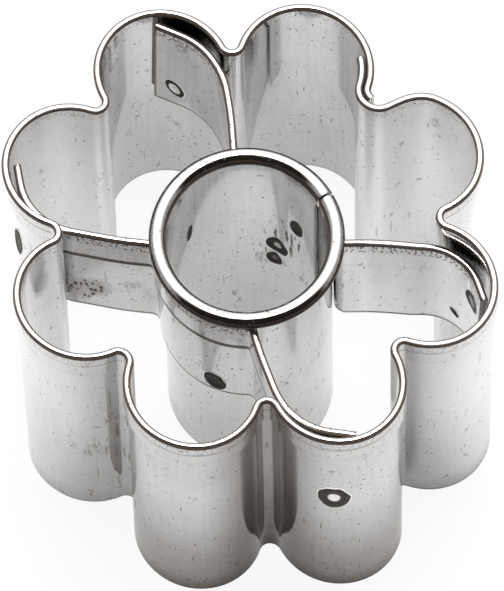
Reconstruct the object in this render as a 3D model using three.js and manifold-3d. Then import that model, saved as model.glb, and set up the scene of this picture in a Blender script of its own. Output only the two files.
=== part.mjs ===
// Fluted ring cutter: a flower-shaped band of tinplate round a centre tube, held by two bent straps.
// Millimetres and degrees. +Z is up, z = 0 is the plane of the cutting edges, and the flower's
// centre is the origin.
import * as THREE from 'three';
import Module from 'manifold-3d';

const wasm = await Module();
wasm.setup();

// The tinplate that all four strips are cut from.
const sheet = 0.28;
const hemGap = 0.06;
const lapGap = 0.05;

// Flower band, measured on its inner face.
const height = 29.8;
const petals = 8;
const petalCircle = 14.5;
const petalGap = 1.398;
const valleyRadius = 1.165;
const bandHem = 3.3;
const ovalPull = 0.027;
const bandSeamValley = 1;
const bandLapAngle = 30;
const bandStepAngle = 45;

// Centre tube with a curled rim. The tube sits a little off the flower's centre.
const tubeRadius = 6.41;
const tubeOffsetX = -0.25;
const tubeOffsetY = -0.91;
const curlRadius = 0.6;
const curlTurn = 285;
const tubeSeamAngle = 26;
const tubeLapAngle = 20;
const tubeStepAngle = 10;
const tubeSlit = 0.2;

// The two straps between tube and band. Each was bent by hand, so each arm has its own sizes: the
// angle at which it leaves the tube, the radius of its shoulder, how far before the petal's axis the
// shoulder ends and how far off the wall, and the rise or fall of its far end.
const backStrapHeight = 13.1;
const frontStrapHeight = 14.1;
const strapHem = 4.1;
const strapUnderCurl = 0.15;
const strapOnTube = 0.06;
const strapOnBand = 0.1;
const strapBend = 0.4;
const eastArm = { petal: -1, leaveAngle: 1.3, shoulder: 3.75, landAngle: 37, off: 0.23, rise: -1.8 };
const northArm = { petal: 2, leaveAngle: 88.7, shoulder: 5.1, landAngle: 48.5, off: 0.57, rise: 0.6 };
const westArm = { petal: 3, leaveAngle: 181.8, shoulder: 4.7, landAngle: 27.5, off: 0.35, rise: -0.9 };
const southArm = { petal: 6, leaveAngle: 265.3, shoulder: 4.85, landAngle: 34, off: 0.48, rise: 0.35 };

const petalStep = 11.25;
const valleyStep = 17;
const tubeStep = 10;
const foldStep = 30;
const bendStep = 20;
const shoulderStep = 15;
const armSteps = 4;
const landingSteps = 2;

const pitch = 360 / petals;
const folded = 2 * sheet + hemGap;
const turn = (degrees) => THREE.MathUtils.degToRad(degrees);
const along = (degrees) => new THREE.Vector2(Math.cos(turn(degrees)), Math.sin(turn(degrees)));
const angleOf = (v) => THREE.MathUtils.radToDeg(Math.atan2(v.y, v.x));
const rightOf = (v) => new THREE.Vector2(v.y, -v.x);
const tubeCentre = new THREE.Vector2(tubeOffsetX, tubeOffsetY);
const wrapRadius = tubeRadius + sheet + strapOnTube;
const underCurl = height - 2 * curlRadius - strapUnderCurl;
const ovalFrom = wrapRadius + 2 * curlRadius + tubeCentre.length();

// Points along an arc, from one angle to another either way round.
function arc(centre, radius, from, to, step) {
  const curve = new THREE.EllipseCurve(
    centre.x, centre.y, radius, radius, turn(from), turn(to), to < from);
  return curve.getPoints(Math.max(1, Math.round(Math.abs(to - from) / step)));
}

// One plan path from several runs of points, without the doubled points where they join.
function join(runs) {
  const path = [];
  for (const point of runs.flat()) {
    const last = path[path.length - 1];
    if (!last || last.distanceTo(point) > 0.01) path.push(point);
  }
  return path;
}

// The mitred normal at each point, on the right of the way the path runs.
function normals(path) {
  return path.map((point, i) => {
    const before = path[Math.max(i - 1, 0)];
    const after = path[Math.min(i + 1, path.length - 1)];
    const back = i > 0 ? rightOf(point.clone().sub(before).normalize()) : null;
    const ahead = i < path.length - 1 ? rightOf(after.clone().sub(point).normalize()) : null;
    const mitre = (back || ahead).clone().add(ahead || back).normalize();
    return mitre.divideScalar(mitre.dot(ahead || back));
  });
}

// The way up the strip at each point: plumb where the path is level, and square to it where it climbs.
function uprights(path, levels) {
  return path.map((point, i) => {
    const last = Math.max(i - 1, 0);
    const next = Math.min(i + 1, path.length - 1);
    const run = path[next].clone().sub(path[last]);
    const climb = (levels[next] - levels[last]) / run.length();
    return new THREE.Vector3(-run.x * climb, -run.y * climb, run.length()).normalize();
  });
}

// A strip of sheet standing on edge: its upright section carried along a plan path at given levels.
// In the section x is the distance to the right of the path and y is the height above its level.
function sweep(section, path, levels = path.map(() => 0)) {
  const outline = section.getPoints(90 / foldStep);
  const loop = outline.filter((p, i) => p.distanceTo(outline[(i + 1) % outline.length]) > 1e-4);
  const side = normals(path);
  const up = uprights(path, levels);
  const positions = [];
  path.forEach((point, i) => {
    for (const p of loop) {
      positions.push(
        point.x + side[i].x * p.x + up[i].x * p.y,
        point.y + side[i].y * p.x + up[i].y * p.y,
        levels[i] + up[i].z * p.y);
    }
  });
  const count = loop.length;
  const last = (path.length - 1) * count;
  const index = [];
  for (let i = 0; i < path.length - 1; i += 1) {
    for (let j = 0; j < count; j += 1) {
      const a = i * count + j;
      const b = i * count + ((j + 1) % count);
      index.push(a, b + count, b, a, a + count, b + count);
    }
  }
  for (const [a, b, c] of THREE.ShapeUtils.triangulateShape(loop, [])) {
    index.push(a, b, c, last + a, last + c, last + b);
  }
  const geometry = new THREE.BufferGeometry();
  geometry.setAttribute('position', new THREE.Float32BufferAttribute(positions, 3));
  geometry.setIndex(index);
  return geometry;
}

// A wall whose top edge is folded flat down its outer side.
function hemmed(bottom, top, depth) {
  const fold = folded / 2;
  const spring = top - fold;
  const section = new THREE.Path();
  section.moveTo(0, bottom);
  section.lineTo(sheet, bottom);
  section.lineTo(sheet, spring);
  section.lineTo(sheet + hemGap, spring);
  section.lineTo(sheet + hemGap, top - depth);
  section.lineTo(folded, top - depth);
  section.absarc(fold, spring, fold, 0, Math.PI, false);
  section.closePath();
  return section;
}

// A wall whose top edge is rolled outward into a hollow bead.
function curled(top) {
  const spring = top - curlRadius;
  const end = Math.PI - turn(curlTurn);
  const section = new THREE.Path();
  section.moveTo(0, 0);
  section.lineTo(sheet, 0);
  section.absarc(curlRadius, spring, curlRadius - sheet, Math.PI, end, true);
  section.absarc(curlRadius, spring, curlRadius, end, Math.PI, false);
  section.closePath();
  return section;
}

function plainWall(top) {
  const section = new THREE.Path();
  section.moveTo(0, 0);
  section.lineTo(sheet, 0);
  section.lineTo(sheet, top);
  section.lineTo(0, top);
  section.closePath();
  return section;
}

// The sprung straps push the flower slightly oval along the diagonal that their ends lie on.
const oval = (p, share = 1) => new THREE.Vector2(
  p.x - ovalPull * share * p.y, p.y - ovalPull * share * p.x);

// Flower geometry: petal arcs and valley arcs that meet tangentially. Neighbouring petals stand
// petalGap apart where they come closest.
const halfPitch = pitch / 2;
const halfSpan = petalCircle * Math.sin(turn(halfPitch));
const petalRadius = halfSpan - petalGap / 2;
const reach = petalRadius + valleyRadius;
const valleyCircle = petalCircle * Math.cos(turn(halfPitch)) + Math.sqrt(reach ** 2 - halfSpan ** 2);
const petalHalf = angleOf(along(halfPitch).multiplyScalar(valleyCircle)
  .sub(new THREE.Vector2(petalCircle, 0)));
const valleyHalf = petalHalf - halfPitch;
const petalAxis = (k) => (k + 0.5) * pitch;
const petalCentre = (k) => along(petalAxis(k)).multiplyScalar(petalCircle);

function petalArc(k, from, to) {
  const axis = petalAxis(k);
  return arc(petalCentre(k), petalRadius, axis + from, axis + to, petalStep);
}

function valleyArc(k, from, to) {
  const centre = along(k * pitch).multiplyScalar(valleyCircle);
  const inward = k * pitch + 180;
  return arc(centre, valleyRadius, inward + from, inward + to, valleyStep);
}

// Moves each point of a path to its left by a share of an amount.
function setIn(path, amount, shareAt) {
  const side = normals(path);
  return path.map((point, i) => point.clone().addScaledVector(side[i], -amount * shareAt(i)));
}

// The band is one strip. It starts outside the seam valley, runs round all the petals, steps in by
// its own folded thickness, and ends inside its first petal.
function bandPath() {
  const runs = [valleyArc(bandSeamValley, 0, -valleyHalf)];
  for (let j = 0; j < petals; j += 1) {
    const k = bandSeamValley + j;
    runs.push(petalArc(k, -petalHalf, petalHalf));
    runs.push(valleyArc(k + 1, valleyHalf, -valleyHalf));
  }
  const stepEnds = join(runs.slice(0, -1)).length - 1;
  const stepStarts = stepEnds - Math.round(bandStepAngle / petalStep);
  runs.push(petalArc(bandSeamValley, -petalHalf, -petalHalf + bandLapAngle));
  const path = join(runs).map((p) => oval(p));
  return setIn(path, folded + lapGap, (i) => THREE.MathUtils.smoothstep(i, stepStarts, stepEnds));
}

// The tube is one strip too. It starts set in by one sheet, steps out and runs round until its
// curled rim meets its own start at a slit. Below the rim a tab runs on over the start.
function tubeGeometry() {
  const slit = angleOf(new THREE.Vector2(tubeRadius, tubeSlit));
  const rimEnds = tubeSeamAngle + 360 - slit;
  const round = arc(tubeCentre, tubeRadius, tubeSeamAngle, rimEnds, tubeStep);
  const lapSteps = Math.ceil(tubeLapAngle / tubeStep) + 1;
  const stepEnds = lapSteps + Math.ceil(tubeStepAngle / tubeStep);
  const wall = setIn(round, sheet + lapGap,
    (i) => 1 - THREE.MathUtils.smoothstep(i, lapSteps, stepEnds));
  const tab = arc(tubeCentre, tubeRadius, rimEnds - tubeStep, rimEnds + tubeLapAngle, tubeStep);
  return fuse(sweep(curled(height), wall), sweep(plainWall(underCurl), tab));
}

// The angle that lies at a bearing, counted on from another one way round (1) or the other (-1).
const onwards = (from, bearing, hand) => from + hand * ((hand * (bearing - from) + 1080) % 360);

const straight = (from, to, steps) => new THREE.LineCurve(from, to).getPoints(steps);

// One arm of a strap: the bend at the tube, and the run from there to its end on the wall of a
// petal. The run is the common tangent of the bend and the shoulder, which curve opposite ways,
// then the shoulder, then a straight landing that reaches the wall.
function strapArm({ petal, leaveAngle, shoulder, landAngle, off }, hand) {
  const bendRadius = strapBend + folded;
  const bend = along(leaveAngle).multiplyScalar(wrapRadius + bendRadius).add(tubeCentre);
  const wallRadius = petalRadius - strapOnBand - folded;
  const turned = petalAxis(petal) - hand * landAngle;
  const crown = along(turned).multiplyScalar(wallRadius - off - shoulder).add(petalCentre(petal));
  const span = crown.clone().sub(bend);
  const lean = Math.asin((bendRadius + shoulder) / span.length());
  const heading = angleOf(span) - hand * THREE.MathUtils.radToDeg(lean);
  const side = heading - hand * 90;
  const lifts = leaveAngle + 180;
  const bent = arc(bend, bendRadius, lifts, onwards(lifts, side + 180, -hand), bendStep);
  const rounded = arc(crown, shoulder, side, onwards(side, turned, hand), shoulderStep);
  const lip = rounded[rounded.length - 1];
  const landing = Math.sqrt(wallRadius ** 2 - (wallRadius - off) ** 2);
  const end = lip.clone().addScaledVector(along(turned + hand * 90), landing);
  const approach = straight(bent[bent.length - 1], rounded[0], armSteps);
  return { bent, run: join([approach, rounded, straight(lip, end, landingSteps)]) };
}

// How far along a path each of its points lies.
function distances(path) {
  let far = 0;
  return path.map((point, i) => {
    if (i > 0) far += point.distanceTo(path[i - 1]);
    return far;
  });
}

// A strap wraps the tube between the bends of its two arms, level and close under the curl. Beyond
// the bends each arm rises or falls evenly to its end, and only there does it follow the oval.
function strapGeometry(first, last, strapHeight) {
  const start = strapArm(first, -1);
  const end = strapArm(last, 1);
  const wrap = arc(tubeCentre, wrapRadius, first.leaveAngle, last.leaveAngle, tubeStep);
  const plan = join([start.run.reverse(), start.bent.reverse(), wrap, end.bent, end.run]);
  const path = plan.map((p) => oval(p, THREE.MathUtils.smoothstep(p.length(), ovalFrom, petalCircle)));
  const firstRun = distances(start.run).pop();
  const lastRun = distances(end.run).pop();
  const whole = distances(path).pop();
  const levels = distances(path).map((far) => underCurl
    + first.rise * Math.max(0, 1 - far / firstRun)
    + last.rise * Math.max(0, 1 - (whole - far) / lastRun));
  return sweep(hemmed(-strapHeight, 0, strapHem), path, levels);
}

function toManifold(geometry) {
  const mesh = new wasm.Mesh({
    numProp: 3,
    vertProperties: new Float32Array(geometry.attributes.position.array),
    triVerts: new Uint32Array(geometry.index.array),
  });
  return new wasm.Manifold(mesh);
}

function fuse(first, second) {
  const mesh = toManifold(first).add(toManifold(second)).getMesh();
  const geometry = new THREE.BufferGeometry();
  geometry.setAttribute('position', new THREE.Float32BufferAttribute(mesh.vertProperties, 3));
  geometry.setIndex(Array.from(mesh.triVerts));
  return geometry;
}

const part = new THREE.Group();

function addPiece(name, geometry, color, roughness) {
  geometry.computeVertexNormals();
  const material = new THREE.MeshStandardMaterial({ color, roughness, metalness: 0.9 });
  const mesh = new THREE.Mesh(geometry, material);
  mesh.name = name;
  part.add(mesh);
}

addPiece('outer_band', sweep(hemmed(0, height, bandHem), bandPath()), 0xb8b7b6, 0.36);
addPiece('centre_tube', tubeGeometry(), 0xbcbbba, 0.34);
addPiece('back_strap', strapGeometry(eastArm, northArm, backStrapHeight), 0xb6b5b4, 0.4);
addPiece('front_strap', strapGeometry(westArm, southArm, frontStrapHeight), 0xb6b5b4, 0.4);

export default part;
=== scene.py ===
import math

import bmesh
import bpy
from mathutils import Matrix, Vector


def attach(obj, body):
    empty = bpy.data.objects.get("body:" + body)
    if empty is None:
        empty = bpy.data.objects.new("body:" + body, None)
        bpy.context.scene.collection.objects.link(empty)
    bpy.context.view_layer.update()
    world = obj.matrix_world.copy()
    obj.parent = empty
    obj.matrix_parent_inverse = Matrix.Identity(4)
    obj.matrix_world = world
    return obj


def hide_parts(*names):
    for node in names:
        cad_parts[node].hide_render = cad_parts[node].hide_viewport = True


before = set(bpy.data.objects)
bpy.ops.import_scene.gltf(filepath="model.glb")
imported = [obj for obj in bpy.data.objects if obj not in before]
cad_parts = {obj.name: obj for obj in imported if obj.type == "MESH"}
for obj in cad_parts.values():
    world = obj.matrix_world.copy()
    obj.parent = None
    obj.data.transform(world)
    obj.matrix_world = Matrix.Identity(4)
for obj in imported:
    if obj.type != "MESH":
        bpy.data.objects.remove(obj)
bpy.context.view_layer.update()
scene = bpy.context.scene
mm = 0.001  # the frame is in metres, the sizes below are in millimetres


class Wire:
    # one socket in a node tree; sums on wires add Math nodes
    def __init__(self, tree, socket=None):
        self.tree = tree
        self.socket = socket

    def node(self, kind, settings=None, sockets=None):
        made = self.tree.nodes.new(kind)
        for key, value in (settings or {}).items():
            setattr(made, key, value)
        for key, value in (sockets or {}).items():
            if isinstance(key, str):
                end = next(s for s in made.inputs if s.enabled and s.name == key)
            else:
                end = made.inputs[key]
            if isinstance(value, Wire):
                self.tree.links.new(value.socket, end)
            else:
                end.default_value = value
        return Wire(self.tree, next((s for s in made.outputs if s.enabled), None))

    def out(self, name):
        return Wire(self.tree, self.socket.node.outputs[name])

    def maths(self, operation, first, second=0.0):
        return self.node("ShaderNodeMath", {"operation": operation}, {0: first, 1: second})

    def vector(self, operation, first, second):
        return self.node("ShaderNodeVectorMath", {"operation": operation}, {0: first, 1: second})

    def scaled(self, way, amount):
        return self.node("ShaderNodeVectorMath", {"operation": "SCALE"},
                         {"Vector": way, "Scale": amount})

    def attribute(self, title):  # a value that the mesh carries, read by a material
        return self.node("ShaderNodeAttribute", {"attribute_name": title}).out("Fac")

    def named(self, title, kind="FLOAT"):  # a value that the mesh carries, read by a geometry tree
        return self.node("GeometryNodeInputNamedAttribute", {"data_type": kind}, {"Name": title})

    def stored(self, shape, title, value, kind="FLOAT"):
        return self.node("GeometryNodeStoreNamedAttribute", {"data_type": kind, "domain": "POINT"},
                         {"Geometry": shape, "Name": title, "Value": value})

    def between(self, low, high):  # 0 at low, 1 at high, eased
        return self.node("ShaderNodeMapRange", {"interpolation_type": "SMOOTHSTEP"},
                         {"Value": self, "From Min": low, "From Max": high})

    def __add__(self, other):
        return self.maths("ADD", self, other)

    def __radd__(self, other):
        return self.maths("ADD", other, self)

    def __sub__(self, other):
        return self.maths("SUBTRACT", self, other)

    def __rsub__(self, other):
        return self.maths("SUBTRACT", other, self)

    def __mul__(self, other):
        return self.maths("MULTIPLY", self, other)

    def __rmul__(self, other):
        return self.maths("MULTIPLY", other, self)

    def __truediv__(self, other):
        return self.maths("DIVIDE", self, other)

    def __rtruediv__(self, other):
        return self.maths("DIVIDE", other, self)

    def __gt__(self, other):
        return self.maths("GREATER_THAN", self, other)

    def __lt__(self, other):
        return self.maths("LESS_THAN", self, other)


def grey(value):
    return (value, value, value, 1)


# plan drawing, in millimetres and degrees
shortestStep = 0.004


def along(bearing):
    return Vector((math.cos(math.radians(bearing)), math.sin(math.radians(bearing))))


def bearingOf(way):
    return math.degrees(math.atan2(way.y, way.x))


def arc(centre, radius, start, end, step):
    count = max(1, round(abs(end - start) / step))
    return [centre + radius * along(start + (end - start) * i / count) for i in range(count + 1)]


def straight(start, end, step):
    count = max(1, round((end - start).length / step))
    return [start.lerp(end, i / count) for i in range(count + 1)]


def joined(*runs):
    path = []
    for point in [p for run in runs for p in run]:
        if not path or (point - path[-1]).length > shortestStep:
            path.append(point)
    return path


def lengthsAlong(path):
    far = [0.0]
    for last, point in zip(path, path[1:]):
        far.append(far[-1] + (point - last).length)
    return far


def eased(value, low, high):
    share = min(max((value - low) / (high - low), 0), 1)
    return share * share * (3 - 2 * share)


def setIn(path, amount, shareAt):  # moves each point to the left of the way the path runs
    moved = []
    for i, point in enumerate(path):
        way = (path[min(i + 1, len(path) - 1)] - path[max(i - 1, 0)]).normalized()
        moved.append(point + Vector((-way.y, way.x)) * amount * shareAt(i))
    return moved


# finishes
def newMaterial(name):
    material = bpy.data.materials.new(name)
    material.use_nodes = True
    material.node_tree.nodes.clear()
    return material, Wire(material.node_tree)


# marks on the tin: steps along and up the sheet in millimetres, then detail or dot size, then seed
grain = {"cloud": (4.0, 6.0, 3, 1), "streak": (0.3, 9.0, 3, 2), "rolled": (14.0, 0.3, 2, 3),
         "patchy": (6.0, 5.0, 2, 7), "fine": (0.12, 0.3, 2, 10), "grit": (0.24, 0.4, 1, 9),
         "scratch": (1.6, 2.6, 1, 11), "scratched": (1.2, 2.4, 2, 12)}
dots = {"speck": (0.9, 0.9, 0.15, 4), "tick": (0.7, 5.0, 0.11, 5), "drip": (1.4, 18.0, 0.1, 8)}
fleck = {"wide": 0.4, "size": 0.62, "seed": 6}

# where each mark begins and where it is full, and how softly lines end
fades = {"cloud": (0.3, 0.7), "patchy": (0.4, 0.65), "grit": (0.5, 0.6), "scratch": (0.003, 0.012),
         "scratched": (0.53, 0.62), "worn": (0.5, 1.1), "dot": (0.5, 1.0), "haze": (0.65, 1.0),
         "edge": (0.18, 0.4), "ends": (0.1, 0.25), "warm": (0.05, 0.42), "bare": (0.0, 0.25)}
soft = {"grit": 0.4, "creaseShade": 0.08, "roll": 0.1, "lip": 0.2}

# how much each mark shifts, darkens, roughens and raises the tin
uneven = {"cloud": 0.04, "streak": 0.1, "rolled": 0.05, "fine": 0.18}
darkens = {"speck": 0.75, "tick": 0.6, "drip": 0.3, "scratch": 0.4, "worn": 0.8}
roughens = {"cloud": 0.05, "streak": 0.1, "speck": 0.3, "worn": 0.3, "burrAndShade": 0.15, "haze": 0.3}
raises = {"streak": 0.3, "rolled": 0.1, "speck": -1.0, "tick": -0.6, "worn": -1.0}


def tinplateFinish(name, look):
    material, tin = newMaterial(name)
    distances = ("along", "rim", "edge", "lip", "ends")  # in millimetres, from the strip
    run, rim, edge, lip, ends = (tin.attribute(title) for title in distances)

    def onSheet(wide, tall, seed):  # a place on the flat sheet, counted in steps of wide and tall
        return tin.node("ShaderNodeCombineXYZ", {},
                        {"X": run / wide + (look["seed"] + seed), "Y": rim / tall})

    def noise(wide, tall, detail, seed):
        return tin.node("ShaderNodeTexNoise", {"noise_dimensions": "2D"},
                        {"Vector": onSheet(wide, tall, seed), "Scale": 1.0, "Detail": detail})

    def specks(share, wide, tall, size, seed):  # scattered dots of random sizes up to the one given
        cells = tin.node("ShaderNodeTexVoronoi", {"voronoi_dimensions": "2D"},
                         {"Vector": onSheet(wide, tall, seed), "Scale": 1.0})
        drawn = tin.node("ShaderNodeSeparateColor", {}, {"Color": cells.out("Color")})
        dot = 1 - (cells / (size * (0.3 + 0.7 * drawn.out("Green")))).between(*fades["dot"])
        return dot * (drawn < share)

    def stripe(value, start, end, softly):  # 1 from start to end
        return value.between(start - softly, start) * (1 - value.between(end, end + softly))

    def awayFrom(middle, size, where):  # 1 at the given size from the middle
        return tin.vector("DISTANCE", where, [c * mm for c in middle]).out("Value") / (size * mm)

    place = tin.node("ShaderNodeTexCoord").out("Object")
    spot = tin.node("ShaderNodeSeparateXYZ", {}, {0: place})
    x, y, height = (spot.out(axis) / mm for axis in "XYZ")
    outside = rim > 0
    front = (0 - y).between(look["frontFrom"], look["frontTo"])
    fromCrest = tin.maths("ABSOLUTE", rim)
    nearFold = 1 - fromCrest.between(look["crackFrom"], look["crackTo"])
    bearing = tin.maths("ARCTAN2", y, x) * (180 / math.pi)
    toValley = tin.maths("PINGPONG", bearing, look["valleyEvery"] / 2)

    # rolled sheet, with hazy patches that are rougher, cleaner and painted paler
    cloud = noise(*grain["cloud"]).between(*fades["cloud"])
    streak = noise(*grain["streak"])
    rolled = noise(*grain["rolled"])
    patchy = noise(*grain["patchy"]).between(*fades["patchy"])
    fine = noise(*grain["fine"])
    hazy, paintedSheen = 0.0, 0.0
    for patch in look["haze"]:
        plan = tin.vector("MULTIPLY", place, (1, 1, 0))
        inPatch = 1 - awayFrom(patch["at"], patch["size"], plan).between(*fades["haze"])
        inPatch = inPatch * (outside if patch["outer"] else 1 - outside)
        hazy = hazy + inPatch
        # each hazy patch is also painted paler: a painted reflection
        paintedSheen = paintedSheen + patch["paintedSheen"] * inPatch

    # dots, runs, scratches and wear
    clean = 1 - look["hazeClean"] * hazy
    speck = specks((look["speckShare"] * patchy + look["crackShare"] * nearFold) * clean, *dots["speck"])
    tick = specks(look["tickShare"] * (0.3 + patchy) * clean, *dots["tick"])
    drip = specks(look["dripShare"] * (0.2 + patchy), *dots["drip"])
    scratch = tin.maths("ABSOLUTE", noise(*grain["scratch"]) - 0.5)
    scratch = 1 - scratch.between(*fades["scratch"])
    scratch = scratch * noise(*grain["scratched"]).between(*fades["scratched"])
    grit = noise(*grain["grit"]).between(*fades["grit"])
    grit = grit * stripe(fromCrest, look["gritFrom"], look["gritTo"], soft["grit"])
    worn = awayFrom(look["wornAt"], look["wornSize"], place) + (cloud - 0.5)
    flecks = specks(look["wornShare"], fleck["wide"], look["wornTall"], fleck["size"], fleck["seed"])
    worn = (1 - worn.between(*fades["worn"])) * (look["wornBase"] + (1 - look["wornBase"]) * flecks)

    # dark lines along folds and cut edges: painted shade at the fold's shoulder, below the fold and
    # under the hem's lip, and burrs with painted shade along cut edges and ends
    # a dark line painted along the fold's shoulder: painted shade for the dark reflection there
    creaseShade = stripe(fromCrest, look["creaseFrom"], look["creaseTo"], soft["creaseShade"])
    # a faint dark line painted below the fold on the outer side: painted shade under the fold
    roll = stripe(rim, look["rollAt"] - soft["roll"], look["rollAt"] + soft["roll"], soft["roll"])
    roll = roll * (0.3 + 0.7 * cloud)
    # a dark line painted round the hem's lower lip and on the wall just under it: painted shadow under
    # the lip
    underLipShade = 1 - lip.between(look["lipTo"] - soft["lip"], look["lipTo"])
    # cut edges and strip ends get a rougher burr and a dark line of painted shade for the gaps beside
    # them
    burrAndShade = tin.maths("MAXIMUM", 1 - edge.between(*fades["edge"]), 1 - ends.between(*fades["ends"]))

    # painted shade that follows the shape: outer walls darker near the top, near the bottom and by the
    # valleys, most at the front
    # outer walls painted darker towards the top, most at the front: painted shade
    paintedTopShade = look["topShadeDark"] * outside * (0.25 + 0.75 * front)
    paintedTopShade = paintedTopShade * height.between(look["topShadeFrom"], look["topShadeTo"])
    # outer walls painted darker towards the bottom and at the foot, most at the front: painted shade for
    # the shaded floor they reflect
    lowShade = look["lowShade"] + look["frontLowShade"] * front
    lowShade = lowShade * (1 - height.between(0.0, look["lowShadeHeight"]))
    lowShade = outside * (lowShade + look["footShade"] * (1 - height.between(0.0, look["footShadeHeight"])))
    # outer walls painted darker near each valley, most at the front: painted shade
    valleyShade = look["valleyShadeDark"] * outside * (0.1 + 0.9 * front)
    valleyShade = valleyShade * (1 - toValley.between(look["valleyShadeFrom"], look["valleyShadeTo"]))

    marks = {"cloud": cloud, "streak": streak, "rolled": rolled, "fine": fine, "haze": hazy,
             "speck": speck, "tick": tick, "drip": drip, "scratch": scratch, "worn": worn,
             "grit": grit, "creaseShade": creaseShade, "roll": roll, "lip": underLipShade, "burrAndShade": burrAndShade}
    # the two sides are painted in lit and shaded tones, the outer side darker: painted shade
    tone = look["tone"] + (look["outerShadeTone"] - look["tone"]) * outside + paintedSheen
    for title, share in uneven.items():
        tone = tone + share * (marks[title] - 0.5)
    for title, share in darkens.items():
        tone = tone * (1 - share * marks[title])
    # grit is real dirt; the other lines darken the tone as painted shade, the burr line partly real
    for title in ("grit", "creaseShade", "roll", "lip", "burrAndShade"):
        tone = tone * (1 - look[title + "Dark"] * marks[title])
    tone = tone * (1 - paintedTopShade) * (1 - lowShade) * (1 - valleyShade)
    rough = look["rough"]
    for title, share in roughens.items():
        rough = rough + share * marks[title]
    relief = 0.0
    for title, share in raises.items():
        relief = relief + share * marks[title]

    # tone carries the real marks and the painted shade alike; low tone mixes towards the soot colour and
    # a warm brown
    tint = tin.node("ShaderNodeMix", {"data_type": "RGBA"},
                    {"Factor": tone, "A": look["soot"], "B": look["tint"]})
    tint = tin.node("ShaderNodeMix", {"data_type": "RGBA", "blend_type": "MULTIPLY"},
                    {"Factor": 1 - tone.between(*fades["warm"]), "A": tint, "B": look["warm"]})
    bump = tin.node("ShaderNodeBump", {},
                    {"Strength": look["bump"], "Distance": look["bumpDepth"] * mm, "Height": relief})
    bare = tone.between(*fades["bare"])  # soot and the painted shade hide the metal's shine
    shader = tin.node("ShaderNodeBsdfPrincipled", {},
                      {"Base Color": tint, "Metallic": bare, "Roughness": rough, "Normal": bump,
                       "Specular IOR Level": look["sootShine"]})
    tin.node("ShaderNodeOutputMaterial", {}, {"Surface": shader})
    return material


bandLook = {"seed": 3, "tone": 0.62, "outerShadeTone": 0.6, "tint": (1.0, 0.997, 0.992, 1),
            "soot": (0.03, 0.022, 0.015, 1), "warm": (1.0, 0.83, 0.69, 1), "sootShine": 0.1,
            "rough": 0.03, "bump": 0.25, "bumpDepth": 0.01,
            "speckShare": 0.5, "tickShare": 0.35, "dripShare": 0.3,
            "crackShare": 0.35, "crackFrom": 0.6, "crackTo": 2.0,
            "gritDark": 0.25, "gritFrom": 0.6, "gritTo": 1.3,
            "creaseShadeDark": 0.88, "creaseFrom": 0.2, "creaseTo": 0.42,
            "rollDark": 0.4, "rollAt": 1.55, "lipDark": 0.1, "lipTo": 0.3, "burrAndShadeDark": 0.2,
            "topShadeDark": 0.2, "topShadeFrom": 14.0, "topShadeTo": 29.0, "frontFrom": 8.0, "frontTo": 17.0,
            "lowShade": 0.1, "frontLowShade": 0.55, "lowShadeHeight": 20.0, "footShade": 0.15, "footShadeHeight": 3.0,
            "valleyShadeDark": 0.55, "valleyEvery": 45.0, "valleyShadeFrom": 4.0, "valleyShadeTo": 16.0,
            "wornAt": (-9.5, -11.0, 12.0), "wornSize": 4.0, "wornTall": 6.0,
            "wornShare": 0.7, "wornBase": 0.1, "hazeClean": 0.6,
            "haze": ({"at": (13.25, 5.2, 0.0), "size": 7.6, "paintedSheen": 0.3, "outer": False},
                     {"at": (-13.55, 5.9, 0.0), "size": 7.6, "paintedSheen": 0.22, "outer": False},
                     {"at": (13.55, -5.9, 0.0), "size": 7.6, "paintedSheen": 0.15, "outer": True})}
tubeLook = {**bandLook, "seed": 41, "creaseShadeDark": 0.9, "creaseFrom": 0.66, "creaseTo": 1.2,
            "rollDark": 0.0, "topShadeDark": 0.0, "frontLowShade": 0.0, "footShade": 0.0, "valleyShadeDark": 0.0,
            "wornAt": (5.2, 2.0, 16.5), "wornSize": 6.0, "wornTall": 3.0, "wornShare": 0.5, "haze": ()}
strapLook = {**bandLook, "seed": 83, "tone": 0.68, "outerShadeTone": 0.56, "speckShare": 0.7,
             "gritDark": 0.7, "rollDark": 0.0, "lipDark": 0.85, "lipTo": 0.75, "burrAndShadeDark": 0.7,
             "topShadeDark": 0.1, "lowShade": 0.0, "frontLowShade": 0.0, "footShade": 0.0, "valleyShadeDark": 0.0,
             "wornAt": (-12.2, 0.7, 18.1), "wornSize": 3.1, "wornTall": 0.8, "wornBase": 0.4,
             "haze": ({"at": (13.0, -1.3, 0.0), "size": 5.0, "paintedSheen": 0.26, "outer": False},)}
bandFinish = tinplateFinish("bandTinplate", bandLook)
tubeFinish = tinplateFinish("tubeTinplate", tubeLook)
strapFinish = tinplateFinish("strapTinplate", strapLook)
print("finishes made")


# sections of the sheet, x outward from its inner face and y up
tinplate = {"sheet": 0.28, "hemGap": 0.06, "lapGap": 0.05, "row": 1.2, "lip": 0.07, "lipStep": 30,
            "foldStep": 10, "wobble": 0.04, "wobbleSize": 9.0, "seed": 4, "sharpAbove": 38}
noLip = 9.0  # stands for the distance to a lip in a section that has none
sheet = tinplate["sheet"]
folded = 2 * sheet + tinplate["hemGap"]


def face(x, start, end):
    return straight(Vector((x, start)), Vector((x, end)), tinplate["row"])


def hemmed(bottom, top, depth):  # a wall whose top edge is folded flat down its outer side
    fold = folded / 2
    spring = top - fold
    lip = tinplate["lip"]
    under = top - depth
    gap = sheet + tinplate["hemGap"]
    corner = arc(Vector((folded - lip, under + lip)), lip, -90, 0, tinplate["lipStep"])
    bend = arc(Vector((fold, spring)), fold, 0, 180, tinplate["foldStep"])
    outline = joined(face(sheet, bottom, spring), face(gap, spring, under), corner,
                     face(folded, under + lip, under + 2 * lip), face(folded, under + 2 * lip, spring),
                     bend, face(0, spring, bottom))
    return outline, (Vector((0, bottom)), Vector((sheet, bottom))), (Vector((folded, under)),)


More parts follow.
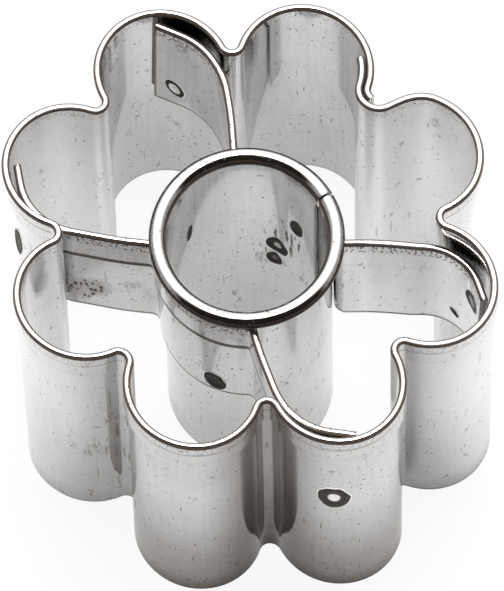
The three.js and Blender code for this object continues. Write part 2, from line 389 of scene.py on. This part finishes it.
def curled(top, radius, turn):  # a wall whose top edge is rolled outward into a hollow bead
    middle = Vector((radius, top - radius))
    inner = arc(middle, radius - sheet, 180, 180 - turn, tinplate["foldStep"])
    outer = arc(middle, radius, 180 - turn, 180, tinplate["foldStep"])
    outline = joined(face(sheet, 0, middle.y), inner, outer, face(0, middle.y, 0))
    return outline, (Vector((0, 0)), Vector((sheet, 0))), ()


def plain(top):
    outline = joined(face(sheet, 0, top), face(0, top, 0))
    return outline, (Vector((0, 0)), Vector((sheet, 0)), Vector((0, top)), Vector((sheet, top))), ()


# geometry trees
def newTree(name, inputs):
    tree = bpy.data.node_groups.new(name, "GeometryNodeTree")
    for title, kind in {"Geometry": "NodeSocketGeometry", **inputs}.items():
        tree.interface.new_socket(title, in_out="INPUT", socket_type=kind)
    tree.interface.new_socket("Geometry", in_out="OUTPUT", socket_type="NodeSocketGeometry")
    return tree


def stripTree():  # carries an upright section along a plan path and makes it a little uneven
    tree = newTree("tinplateStrip", {"Section": "NodeSocketObject", "Finish": "NodeSocketMaterial",
                                     "Wobble": "NodeSocketFloat", "Wobble size": "NodeSocketFloat",
                                     "Seed": "NodeSocketInt"})
    strip = Wire(tree)
    given = strip.node("NodeGroupInput")
    path = strip.node("GeometryNodeMeshToCurve", {}, {"Mesh": given.out("Geometry")})
    path = strip.node("GeometryNodeSetCurveNormal", {"mode": "Z_UP"}, {"Curve": path})
    path = strip.stored(path, "outward", strip.node("GeometryNodeInputNormal"), "FLOAT_VECTOR")
    section = strip.node("GeometryNodeObjectInfo", {}, {"Object": given.out("Section")})
    section = strip.node("GeometryNodeMeshToCurve", {}, {"Mesh": section.out("Geometry")})
    wall = strip.node("GeometryNodeCurveToMesh", {},
                      {"Curve": path, "Profile Curve": section, "Fill Caps": True})
    setBack = strip.named("lapIn") * strip.named("wall")
    lapped = strip.scaled(strip.named("outward", "FLOAT_VECTOR"), 0 - setBack)
    raised = strip.node("ShaderNodeCombineXYZ", {}, {"Z": strip.named("lift")})
    noise = strip.node("ShaderNodeTexNoise", {"noise_dimensions": "4D"},
                       {"Vector": strip.node("GeometryNodeInputPosition"), "W": given.out("Seed"),
                        "Scale": 1 / given.out("Wobble size"), "Detail": 1.0})
    sway = strip.vector("SUBTRACT", noise.out("Color"), (0.5, 0.5, 0.5))
    sway = strip.scaled(strip.vector("MULTIPLY", sway, (2, 2, 0)), given.out("Wobble"))
    sway = strip.vector("ADD", sway, strip.vector("ADD", lapped, raised))
    wall = strip.node("GeometryNodeSetPosition", {}, {"Geometry": wall, "Offset": sway})
    wall = strip.node("GeometryNodeFlipFaces", {}, {"Mesh": wall})
    wall = strip.node("GeometryNodeRealizeInstances", {}, {"Geometry": wall})
    wall = strip.node("GeometryNodeSetMaterial", {}, {"Geometry": wall, "Material": given.out("Finish")})
    strip.node("NodeGroupOutput", {}, {"Geometry": wall})
    return tree


def wireMesh(name, points, marks, closed=False):
    mesh = bpy.data.meshes.new(name)
    edges = [(i, i + 1) for i in range(len(points) - 1)]
    if closed:
        edges.append((len(points) - 1, 0))
    mesh.from_pydata(points, edges, [])
    for title, values in marks.items():
        mesh.attributes.new(title, "FLOAT", "POINT").data.foreach_set("value", values)
    return mesh


def grown(name, mesh, tree, inputs):  # runs a tree on a mesh and keeps the result as a plain mesh
    piece = bpy.data.objects.new(name, mesh)
    recipe = piece.modifiers.new(tree.name, "NODES")
    recipe.node_group = tree
    for item in tree.interface.items_tree:
        if item.in_out == "INPUT" and item.name in inputs:
            recipe[item.identifier] = inputs[item.name]
    scene.collection.objects.link(piece)
    view = bpy.context.evaluated_depsgraph_get()
    made = bpy.data.meshes.new_from_object(piece.evaluated_get(view))
    piece.modifiers.clear()
    piece.data = made
    made.name = name
    bpy.data.meshes.remove(mesh)
    return piece


tinplateStrip = stripTree()


def pathMarks(path, lapIn, lift):
    far = lengthsAlong(path)
    return {"along": far, "ends": [min(s, far[-1] - s) for s in far],
            "lapIn": [lapIn(i) * mm for i in range(len(path))],
            "lift": [lift(i) * mm for i in range(len(path))]}


def sectionMarks(section, neck):  # neck: how far below the crest a lapped wall is fully set in
    outline, cutEdges, lips = section
    far = lengthsAlong(outline)
    top = max(range(len(outline)), key=lambda i: outline[i].y)
    return {"rim": [far[top] - s for s in far],
            "edge": [min((p - cut).length for cut in cutEdges) for p in outline],
            "lip": [min(((p - lip).length for lip in lips), default=noLip) for p in outline],
            "wall": [eased(outline[top].y - p.y, neck / 3, neck) for p in outline]}


def stripPiece(name, path, section, finish, lapIn=lambda i: 0, lift=lambda i: 0, neck=1.0):
    drawn = wireMesh(name + "Section", [(p.x * mm, -p.y * mm, 0) for p in section[0]],
                     sectionMarks(section, neck), closed=True)
    carrier = bpy.data.objects.new(name + "Section", drawn)
    scene.collection.objects.link(carrier)
    route = wireMesh(name + "Path", [p.to_3d() * mm for p in path], pathMarks(path, lapIn, lift))
    piece = grown(name, route, tinplateStrip,
                  {"Section": carrier, "Finish": finish, "Wobble": tinplate["wobble"] * mm,
                   "Wobble size": tinplate["wobbleSize"] * mm, "Seed": tinplate["seed"]})
    bpy.data.objects.remove(carrier)
    bpy.data.meshes.remove(drawn)
    piece.data.shade_smooth()
    piece.data.set_sharp_from_angle(angle=math.radians(tinplate["sharpAbove"]))
    return piece


# flower band
flower = {"height": 29.8, "petals": 8, "petalCircle": 14.5, "petalRadius": 4.85, "valleyRadius": 1.165,
          "hem": 3.3, "oval": 0.027, "seamValley": 1, "lapAngle": 30, "stepAngle": 45,
          "petalStep": 5, "valleyStep": 7.5}
pitch = 360 / flower["petals"]
reach = flower["petalRadius"] + flower["valleyRadius"]
halfPitch = math.radians(pitch / 2)
halfSpan = flower["petalCircle"] * math.sin(halfPitch)
valleyCircle = flower["petalCircle"] * math.cos(halfPitch) + math.sqrt(reach ** 2 - halfSpan ** 2)
petalHalf = bearingOf(valleyCircle * along(pitch / 2) - Vector((flower["petalCircle"], 0)))
valleyHalf = petalHalf - pitch / 2


def petalAxis(k):
    return (k + 0.5) * pitch


def petalCentre(k):
    return flower["petalCircle"] * along(petalAxis(k))


def petalArc(k, start, end):
    axis = petalAxis(k)
    return arc(petalCentre(k), flower["petalRadius"], axis + start, axis + end, flower["petalStep"])


def valleyArc(k, start, end):
    inward = k * pitch + 180
    return arc(valleyCircle * along(k * pitch), flower["valleyRadius"], inward + start, inward + end,
               flower["valleyStep"])


def oval(p, share=1.0):
    pull = flower["oval"] * share
    return Vector((p.x - pull * p.y, p.y - pull * p.x))


def bandPath():
    first = flower["seamValley"]
    runs = [valleyArc(first, 0, -valleyHalf)]
    for k in range(first, first + flower["petals"]):
        runs.append(petalArc(k, -petalHalf, petalHalf))
        runs.append(valleyArc(k + 1, valleyHalf, -valleyHalf))
    stepEnds = len(joined(*runs[:-1])) - 1
    stepStarts = stepEnds - round(flower["stepAngle"] / flower["petalStep"])
    runs.append(petalArc(first, -petalHalf, -petalHalf + flower["lapAngle"]))
    path = [oval(p) for p in joined(*runs)]
    return setIn(path, folded + tinplate["lapGap"], lambda i: eased(i, stepStarts, stepEnds))


band = stripPiece("flowerBand", bandPath(), hemmed(0, flower["height"], flower["hem"]), bandFinish)
print("flower band made:", len(band.data.polygons), "faces")


# centre tube
tube = {"radius": 6.35, "offset": (-0.25, -0.91), "curl": 0.66, "curlTurn": 285, "seam": 26, "lap": 20,
        "lapHolds": 30, "lapEnds": 40, "slit": 0.2, "clear": 0.03, "step": 4}
tubeCentre = Vector(tube["offset"])
underCurl = flower["height"] - 2 * tube["curl"] - tube["clear"]


def tubePiece():
    slit = math.degrees(math.atan2(tube["slit"], tube["radius"]))
    rimEnds = tube["seam"] + 360 - slit
    ring = arc(tubeCentre, tube["radius"], tube["seam"], rimEnds, tube["step"])
    sweepOf = (rimEnds - tube["seam"]) / (len(ring) - 1)

    def lapIn(i):  # the wall below the bead steps inside the other end
        return (sheet + tinplate["lapGap"]) * (1 - eased(i * sweepOf, tube["lapHolds"], tube["lapEnds"]))

    rim = curled(flower["height"], tube["curl"], tube["curlTurn"])
    piece = stripPiece("centreTube", ring, rim, tubeFinish, lapIn, neck=3 * tube["curl"])
    over = arc(tubeCentre, tube["radius"], rimEnds, rimEnds + tube["lap"], tube["step"])
    tab = stripPiece("tubeTab", over, plain(underCurl), tubeFinish)
    both = bmesh.new()
    both.from_mesh(piece.data)
    both.from_mesh(tab.data)
    both.to_mesh(piece.data)
    both.free()
    bpy.data.objects.remove(tab)
    return piece


centreTube = tubePiece()
print("centre tube made:", len(centreTube.data.polygons), "faces")


# straps
strap = {"backHeight": 13.1, "frontHeight": 14.1, "hem": 4.1, "onTube": 0.12, "onBand": 0.1, "bend": 0.4,
         "tilted": 0.5, "bendStep": 8, "shoulderStep": 5, "armStep": 0.8}
eastArm = {"petal": -1, "leaves": 1.3, "shoulder": 3.75, "lands": 37, "off": 0.23, "rise": -1.8}
northArm = {"petal": 2, "leaves": 88.7, "shoulder": 5.1, "lands": 48.5, "off": 0.57, "rise": 0.6}
westArm = {"petal": 3, "leaves": 181.8, "shoulder": 4.7, "lands": 27.5, "off": 0.35, "rise": -0.9}
southArm = {"petal": 6, "leaves": 265.3, "shoulder": 4.85, "lands": 34, "off": 0.48, "rise": 0.35}
wrapRadius = tube["radius"] + sheet + strap["onTube"]
ovalFrom = wrapRadius + 2 * tube["curl"] + tubeCentre.length


def onwards(start, bearing, hand):
    return start + hand * ((hand * (bearing - start)) % 360)


def strapArm(arm, hand):  # the bend at the tube, then the run to the wall of a petal
    bendRadius = strap["bend"] + folded
    bend = tubeCentre + (wrapRadius + bendRadius) * along(arm["leaves"])
    wallRadius = flower["petalRadius"] - strap["onBand"] - folded
    turned = petalAxis(arm["petal"]) - hand * arm["lands"]
    crown = petalCentre(arm["petal"]) + (wallRadius - arm["off"] - arm["shoulder"]) * along(turned)
    span = crown - bend
    lean = math.degrees(math.asin((bendRadius + arm["shoulder"]) / span.length))
    side = bearingOf(span) - hand * (lean + 90)
    lifts = arm["leaves"] + 180
    bent = arc(bend, bendRadius, lifts, onwards(lifts, side + 180, -hand), strap["bendStep"])
    rounded = arc(crown, arm["shoulder"], side, onwards(side, turned, hand), strap["shoulderStep"])
    landing = math.sqrt(wallRadius ** 2 - (wallRadius - arm["off"]) ** 2)
    end = rounded[-1] + landing * along(turned + hand * 90)
    run = joined(straight(bent[-1], rounded[0], strap["armStep"]), rounded,
                 straight(rounded[-1], end, strap["armStep"]))
    return bent, run


def strapPiece(name, first, last, height):  # level round the tube, each arm rising or falling to its end
    firstBent, firstRun = strapArm(first, -1)
    lastBent, lastRun = strapArm(last, 1)
    wrap = arc(tubeCentre, wrapRadius, first["leaves"], last["leaves"], tube["step"])
    plan = joined(firstRun[::-1], firstBent[::-1], wrap, lastBent, lastRun)
    path = [oval(p, eased(p.length, ovalFrom, flower["petalCircle"])) for p in plan]
    far = lengthsAlong(path)
    firstLength = lengthsAlong(firstRun)[-1]
    lastLength = lengthsAlong(lastRun)[-1]
    rises = [first["rise"] * max(0, 1 - s / firstLength)
             + last["rise"] * max(0, 1 - (far[-1] - s) / lastLength) for s in far]
    path = [Vector((p.x, p.y, underCurl + strap["tilted"] * rise)) for p, rise in zip(path, rises)]
    return stripPiece(name, path, hemmed(-height, 0, strap["hem"]), strapFinish,
                      lift=lambda i: (1 - strap["tilted"]) * rises[i])


backStrap = strapPiece("backStrap", eastArm, northArm, strap["backHeight"])
frontStrap = strapPiece("frontStrap", westArm, southArm, strap["frontHeight"])
print("straps made:", len(backStrap.data.polygons) + len(frontStrap.data.polygons), "faces")


# spot welds
weld = {"ringHeight": 0.07, "film": 0.012, "sunk": 0.08, "reach": 0.6, "lens": 0.1,
        "ringFrom": 0.3, "ringTop": 0.7, "filmFrom": 0.9, "underside": -0.01,
        "segments": 28, "rings": 16}
plainMark = {"slant": 0, "burn": 1.0, "fill": 1.0, "hole": 0.27}
welds = [{**plainMark, **mark} for mark in (
    {"at": (-3.3, -7.25, 16.1), "faces": -117, "wide": 2.1, "tall": 3.4, "slant": 12},
    {"at": (2.49, 4.8, 14.5), "faces": -121, "wide": 2.4, "tall": 3.0, "fill": 0.45},
    {"at": (2.2, 5.0, 11.7), "faces": -116, "wide": 1.6, "tall": 2.6, "fill": 0.8},
    {"at": (3.95, 3.48, 20.5), "faces": -134, "wide": 1.5, "tall": 2.9},
    {"at": (-4.6, 3.75, 20.3), "faces": -46, "wide": 0.6, "tall": 2.9, "slant": -8, "burn": 0.9},
    {"at": (-4.95, 17.0, 18.9), "faces": -114, "wide": 1.6, "tall": 3.1, "slant": 20,
     "fill": 0.2, "hole": 0.55},
    {"at": (-4.35, 16.65, 27.0), "faces": -124, "wide": 1.4, "tall": 1.6, "burn": 0.2, "fill": 0.0},
    {"at": (17.1, -4.65, 22.6), "faces": -153, "wide": 2.1, "tall": 3.0, "burn": 0.9,
     "fill": 0.6, "hole": 0.45},
    {"at": (16.0, -2.75, 16.7), "faces": -118, "wide": 0.5, "tall": 1.7, "slant": 30, "burn": 0.9},
    {"at": (5.35, -18.6, 18.0), "faces": -96, "wide": 2.9, "tall": 4.3, "fill": 0.1, "hole": 0.33},
    {"at": (-18.05, 3.7, 20.9), "faces": -151, "wide": 1.3, "tall": 5.4, "fill": 0.9},
    {"at": (15.2, 9.5, 25.7), "faces": -119, "wide": 0.9, "tall": 2.0, "burn": 0.1, "fill": 0.0},
    {"at": (-16.5, -1.45, 24.0), "faces": -51, "wide": 2.0, "tall": 5.6, "burn": 0.15},
)]
weldLook = {"soot": (0.03, 0.022, 0.015, 1), "tint": (1.0, 0.985, 0.97, 1), "sootShine": 0.1,
            "tone": 0.9, "bareTo": 0.4, "rough": 0.2, "scorchRough": 0.25, "bump": 0.5,
            "bumpDepth": 0.05, "coarse": 0.9, "fine": 3.5, "ragged": 0.25, "mottled": 0.4,
            "scorch": 1.05, "ringSoft": 0.07, "haloFrom": 0.86, "haloTo": 0.92,
            "fadeFrom": 0.3, "burntFade": 0.63, "leastShown": 0.25}


def weldFinish(look):
    material, scar = newMaterial("weldScar")
    place = scar.node("ShaderNodeTexCoord").out("Object")
    coarse = scar.node("ShaderNodeTexNoise", {},
                       {"Vector": place, "Scale": look["coarse"] / mm, "Detail": 3.0})
    fine = scar.node("ShaderNodeTexNoise", {},
                     {"Vector": place, "Scale": look["fine"] / mm, "Detail": 2.0})
    burn, fill, hole = (scar.attribute(title) for title in ("burn", "fill", "hole"))
    out = scar.attribute("spread") + look["ragged"] * (coarse - 0.5)
    halo = out.between(look["haloFrom"], look["haloTo"])
    ring = (out - hole).between(-look["ringSoft"], look["ringSoft"])
    scorch = fill + (1 - fill) * ring
    scorch = scorch * (1 - halo) * (look["scorch"] + look["mottled"] * (fine - 0.5))
    tone = look["tone"] * (1 - burn * scorch)
    tint = scar.node("ShaderNodeMix", {"data_type": "RGBA"},
                     {"Factor": tone, "A": look["soot"], "B": look["tint"]})
    bump = scar.node("ShaderNodeBump", {},
                     {"Strength": look["bump"], "Distance": look["bumpDepth"] * mm, "Height": fine})
    shown = 1 - out.between(look["fadeFrom"] + look["burntFade"] * burn, 1.0)
    shown = shown * (look["leastShown"] + (1 - look["leastShown"]) * burn)
    shader = scar.node("ShaderNodeBsdfPrincipled", {},
                       {"Base Color": tint, "Metallic": tone.between(0.0, look["bareTo"]),
                        "Roughness": look["rough"] + look["scorchRough"] * scorch,
                        "Normal": bump, "Alpha": shown, "Specular IOR Level": look["sootShine"]})
    scar.node("ShaderNodeOutputMaterial", {}, {"Surface": shader})
    return material


def weldTree():  # lays a low ring of melted sheet on the walls at each point
    tree = newTree("weldMarks", {"Walls": "NodeSocketCollection", "Finish": "NodeSocketMaterial",
                                 "Ring height": "NodeSocketFloat", "Film": "NodeSocketFloat",
                                 "Sunk": "NodeSocketFloat", "Reach": "NodeSocketFloat"})
    melt = Wire(tree)
    given = melt.node("NodeGroupInput")

    def wayOf(title):
        return melt.named(title, "FLOAT_VECTOR")

    place = melt.node("GeometryNodeInputPosition")
    lens = melt.node("GeometryNodeMeshUVSphere", {},
                     {"Segments": weld["segments"], "Rings": weld["rings"], "Radius": 1.0})
    flat = melt.vector("MULTIPLY", place, (1, 1, 0))
    lens = melt.stored(lens.out("Mesh"), "spread", melt.vector("LENGTH", flat, (0, 0, 0)))
    lens = melt.stored(lens, "level", melt.node("ShaderNodeSeparateXYZ", {}, {0: place}).out("Z"))
    turn = melt.node("FunctionNodeEulerToRotation", {}, {0: wayOf("turn")})
    laid = melt.node("GeometryNodeInstanceOnPoints", {},
                     {"Points": given.out("Geometry"), "Instance": lens, "Rotation": turn,
                      "Scale": wayOf("span")})
    laid = melt.node("GeometryNodeRealizeInstances", {}, {"Geometry": laid})
    facing = wayOf("facing")
    lifted = melt.vector("DOT_PRODUCT", melt.vector("SUBTRACT", place, wayOf("centre")), facing)
    start = melt.vector("ADD", place, melt.scaled(facing, given.out("Reach") - lifted))
    walls = melt.node("GeometryNodeCollectionInfo", {}, {"Collection": given.out("Walls")})
    walls = melt.node("GeometryNodeRealizeInstances", {}, {"Geometry": walls})
    hit = melt.node("GeometryNodeRaycast", {},
                    {"Target Geometry": walls, "Source Position": start,
                     "Ray Direction": melt.scaled(facing, -1.0), "Ray Length": 2 * given.out("Reach")})
    spread = melt.named("spread")
    ring = spread.between(weld["ringFrom"], weld["ringTop"]) * (1 - spread.between(weld["ringTop"], 1.0))
    film = given.out("Film") * (1 - spread.between(weld["filmFrom"], 1.0))
    above = melt.named("level") > weld["underside"]
    height = (film + given.out("Ring height") * ring) * above - given.out("Sunk") * (1 - above)
    target = melt.vector("ADD", hit.out("Hit Position"), melt.scaled(facing, height))
    laid = melt.node("GeometryNodeSetPosition", {},
                     {"Geometry": laid, "Selection": hit.out("Is Hit"), "Position": target})
    laid = melt.node("GeometryNodeRealizeInstances", {}, {"Geometry": laid})
    laid = melt.node("GeometryNodeSetMaterial", {}, {"Geometry": laid, "Material": given.out("Finish")})
    melt.node("NodeGroupOutput", {}, {"Geometry": laid})
    return tree


def weldPoints():
    mesh = bpy.data.meshes.new("weldPoints")
    mesh.from_pydata([Vector(w["at"]) * mm for w in welds], [], [])
    ways = {"facing": [], "turn": [], "span": [], "centre": []}
    for w in welds:
        facing = along(w["faces"]).to_3d()
        upright = Matrix((Vector((0, 0, 1)).cross(facing), Vector((0, 0, 1)), facing)).transposed()
        leaning = Matrix.Rotation(math.radians(w["slant"]), 3, facing) @ upright
        ways["facing"].append(facing)
        ways["turn"].append(Vector(leaning.to_euler()))
        ways["span"].append(Vector((w["wide"] / 2, w["tall"] / 2, weld["lens"])) * mm)
        ways["centre"].append(Vector(w["at"]) * mm)
    for title, vectors in ways.items():
        layer = mesh.attributes.new(title, "FLOAT_VECTOR", "POINT")
        layer.data.foreach_set("vector", [c for v in vectors for c in v])
    for title in ("burn", "fill", "hole"):
        mesh.attributes.new(title, "FLOAT", "POINT").data.foreach_set("value", [w[title] for w in welds])
    return mesh


def weldPiece():
    walls = bpy.data.collections.new("walls")
    for wall in (band, centreTube, backStrap, frontStrap):
        walls.objects.link(wall)
    piece = grown("weldMarks", weldPoints(), weldTree(),
                  {"Walls": walls, "Finish": weldFinish(weldLook),
                   "Ring height": weld["ringHeight"] * mm, "Film": weld["film"] * mm,
                   "Sunk": weld["sunk"] * mm, "Reach": weld["reach"] * mm})
    bpy.data.collections.remove(walls)
    piece.data.shade_smooth()
    return piece


weldMarks = weldPiece()
print("spot welds made:", len(weldMarks.data.polygons), "faces")

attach(weldMarks, "root")
for piece, node, slot in ((band, "outer_band", "band_tinplate"),
                          (centreTube, "centre_tube", "tube_tinplate"),
                          (backStrap, "back_strap", "strap_tinplate"),
                          (frontStrap, "front_strap", "strap_tinplate")):
    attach(piece, "root")
    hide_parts(node)


# camera, from the photograph's frame
shot = {"imageWidth": 504, "imageHeight": 591, "focal": 10263.4, "middleX": 250.4, "middleY": 274.2,
        "elevation": 66.43, "swing": 2.32, "roll": 1.42, "distance": 808.5, "aim": 20.0,
        "sensor": 36, "clipEnd": 10}


def cameraAxes():
    rise = math.radians(shot["elevation"])
    swing = math.radians(shot["swing"])
    roll = math.radians(shot["roll"])
    back = Vector((-math.sin(swing) * math.cos(rise), -math.cos(swing) * math.cos(rise), math.sin(rise)))
    right = Vector((math.cos(swing), -math.sin(swing), 0))
    up = back.cross(right)
    across = math.cos(roll) * right - math.sin(roll) * up
    upward = math.sin(roll) * right + math.cos(roll) * up
    return across, upward, back


def makeCamera():
    data = bpy.data.cameras.new("camera")
    data.sensor_width = shot["sensor"]
    data.lens = shot["focal"] / shot["imageHeight"] * data.sensor_width
    data.shift_x = (shot["imageWidth"] / 2 - shot["middleX"]) / shot["imageHeight"]
    data.shift_y = (shot["middleY"] - shot["imageHeight"] / 2) / shot["imageHeight"]
    data.clip_end = shot["clipEnd"]
    camera = bpy.data.objects.new("camera", data)
    across, upward, back = cameraAxes()
    place = Vector((0, 0, shot["aim"] * mm)) + back * shot["distance"] * mm
    turned = Matrix((across, upward, back)).transposed().to_4x4()
    camera.matrix_world = Matrix.Translation(place) @ turned
    scene.collection.objects.link(camera)
    scene.camera = camera


makeCamera()


# white table and studio
studio = {"tableSize": 4000, "tableDrop": 0.01, "tableTone": 0.9, "tableShown": 0.92,
          "tableMirrored": 0.57, "sideTone": 0.45, "topTone": 1.8, "topRise": 62, "topInner": 30,
          "topOuter": 62, "darkTone": 0.02, "darkTint": (1.0, 0.8, 0.62, 1), "darkRise": 20,
          "darkInner": 60, "darkOuter": 72, "keyPower": 7.0, "keySize": 420, "keyPlace": (50, 215, 700)}


def whiteTable():
    half = studio["tableSize"] * mm / 2
    mesh = bpy.data.meshes.new("whiteTable")
    corners = [(-half, -half, 0), (half, -half, 0), (half, half, 0), (-half, half, 0)]
    mesh.from_pydata(corners, [], [(0, 1, 2, 3)])
    table = bpy.data.objects.new("whiteTable", mesh)
    table.location.z = -studio["tableDrop"] * mm
    material, paper = newMaterial("tablePaper")
    ray = paper.node("ShaderNodeLightPath")
    direct = ray.out("Is Camera Ray") + ray.out("Is Transmission Ray")
    shown = studio["tableShown"] * direct + studio["tableMirrored"] * ray.out("Is Glossy Ray")
    matt = paper.node("ShaderNodeBsdfDiffuse", {}, {"Color": grey(studio["tableTone"])})
    glow = paper.node("ShaderNodeEmission", {}, {"Color": grey(1), "Strength": 1.0})
    surface = paper.node("ShaderNodeMixShader", {}, {0: shown, 1: matt, 2: glow})
    paper.node("ShaderNodeOutputMaterial", {}, {"Surface": surface})
    mesh.materials.append(material)
    scene.collection.objects.link(table)


def studioSky():  # a white tent, brightest overhead, open and dark on the camera's side
    world = bpy.data.worlds.new("studioSky")
    world.use_nodes = True
    world.node_tree.nodes.clear()
    sky = Wire(world.node_tree)
    way = sky.node("ShaderNodeTexCoord").out("Generated")

    def zone(toward, name):  # 1 inside a soft-edged round part of the sky
        rise = math.radians(studio[name + "Rise"])
        middle = (0, toward * math.cos(rise), math.sin(rise))
        facing = sky.vector("DOT_PRODUCT", way, middle).out("Value")
        return facing.between(math.cos(math.radians(studio[name + "Outer"])),
                              math.cos(math.radians(studio[name + "Inner"])))

    level = studio["sideTone"] + (studio["topTone"] - studio["sideTone"]) * zone(1, "top")
    dark = zone(-1, "dark")
    level = level * (1 - dark) + studio["darkTone"] * dark
    seen = sky.node("ShaderNodeLightPath").out("Is Camera Ray")
    level = level * (1 - seen) + seen
    colour = sky.node("ShaderNodeMix", {"data_type": "RGBA"},
                      {"Factor": dark, "A": grey(1), "B": studio["darkTint"]})
    light = sky.node("ShaderNodeBackground", {}, {"Color": colour, "Strength": level})
    sky.node("ShaderNodeOutputWorld", {}, {"Surface": light})
    scene.world = world


def softbox(name, place, size, power):
    data = bpy.data.lights.new(name, "AREA")
    data.size = size * mm
    data.energy = power
    lamp = bpy.data.objects.new(name, data)
    lamp.location = Vector(place) * mm
    lamp.rotation_euler = lamp.location.to_track_quat("Z", "Y").to_euler()
    scene.collection.objects.link(lamp)


whiteTable()
studioSky()
softbox("keySoftbox", studio["keyPlace"], studio["keySize"], studio["keyPower"])
scene.view_settings.view_transform = "Standard"
print("studio set")
